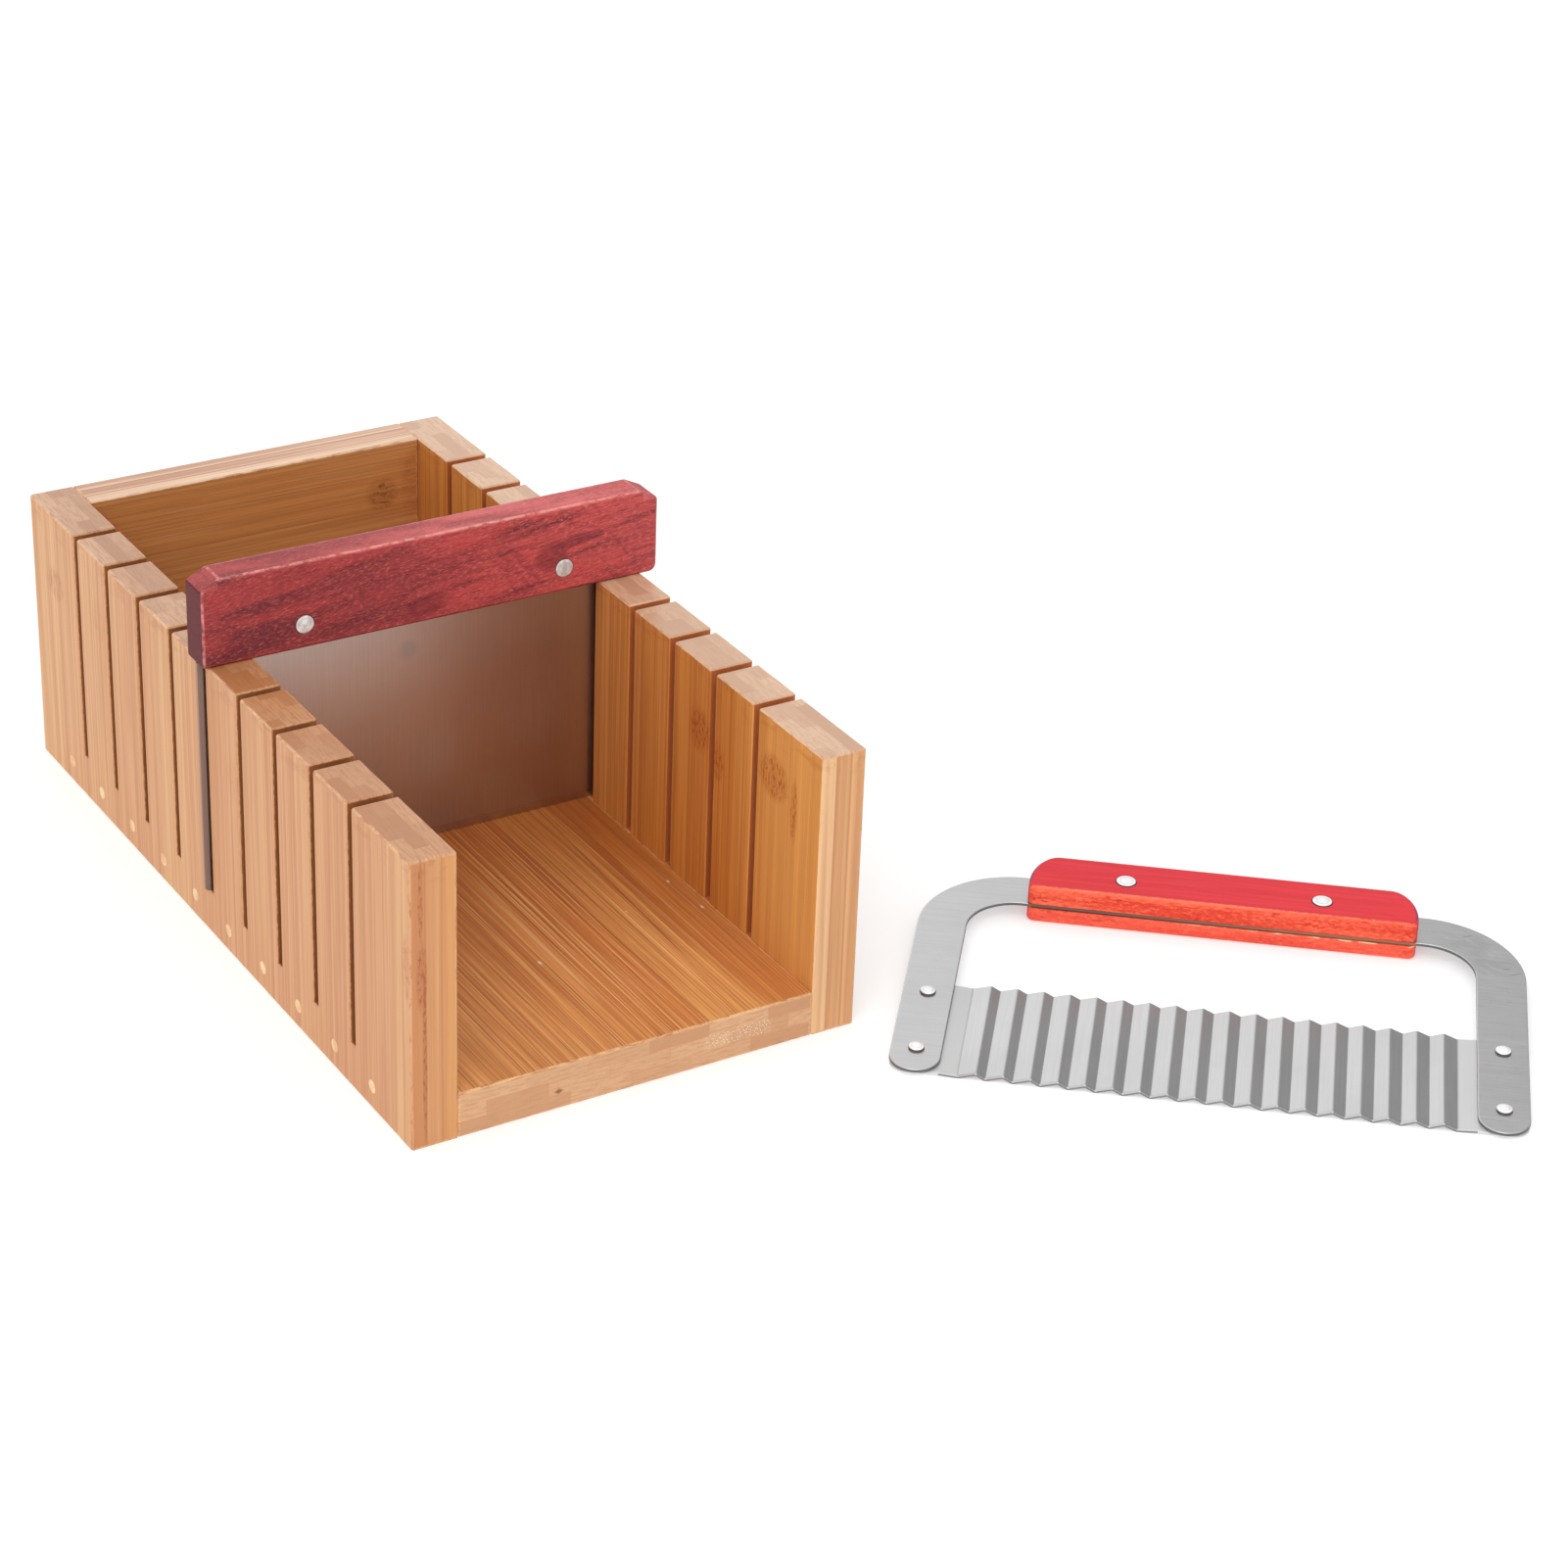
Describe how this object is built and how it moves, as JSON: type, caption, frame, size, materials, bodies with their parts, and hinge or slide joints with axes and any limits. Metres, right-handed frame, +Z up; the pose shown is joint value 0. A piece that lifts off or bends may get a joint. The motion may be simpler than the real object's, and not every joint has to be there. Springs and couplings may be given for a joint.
{
  "type": "soap cutter",
  "caption": "Slotted bamboo soap cutting box with a straight blade in its middle slots and a corrugated hand cutter beside it.",
  "frame": {"origin": "middle of the box's underside, on the surface that it stands on", "axes": "+X across the box to its right wall, +Y from the open front to the back board, +Z up"},
  "size_m": [0.3536, 0.4274, 0.124],
  "materials": {
    "bamboo_wall": "satin clear-oiled laminated bamboo",
    "bamboo_floor": "satin clear-oiled laminated bamboo",
    "bamboo_back": "satin clear-oiled laminated bamboo",
    "bamboo_pin": "pale end grain, sanded flush",
    "dark_red_wood": "satin stained hardwood",
    "bright_red_wood": "satin stained hardwood",
    "plain_blade_steel": "brushed",
    "wavy_blade_steel": "brushed",
    "bow_steel": "brushed",
    "rivet_metal": "polished"
  },
  "bodies": {
    "box": {"left_wall": "bamboo_wall", "right_wall": "bamboo_wall", "floor_board": "bamboo_floor", "back_board": "bamboo_back", "left_wall_dowels": "bamboo_pin", "right_wall_dowels": "bamboo_pin"},
    "straight_cutter": {"straight_blade": "plain_blade_steel", "straight_handle": "dark_red_wood", "straight_rivet_left": "rivet_metal", "straight_rivet_right": "rivet_metal"},
    "wavy_cutter": {"wavy_frame": "bow_steel", "wavy_blade": "wavy_blade_steel", "wavy_handle": "bright_red_wood", "wavy_handle_rivet_left": "rivet_metal", "wavy_handle_rivet_right": "rivet_metal", "wavy_blade_rivet_left_lower": "rivet_metal", "wavy_blade_rivet_left_upper": "rivet_metal", "wavy_blade_rivet_right_lower": "rivet_metal", "wavy_blade_rivet_right_upper": "rivet_metal"}
  },
  "joints": [
    {"name": "straight_cutter_lift", "type": "slide", "parent": "box", "child": "straight_cutter", "axis": [0, 0, 1], "range_m": [0, 0.1]},
    {"name": "wavy_cutter_lift", "type": "slide", "parent": "box", "child": "wavy_cutter", "axis": [0, 0, 1], "range_m": [0, 0.2]}
  ]
}
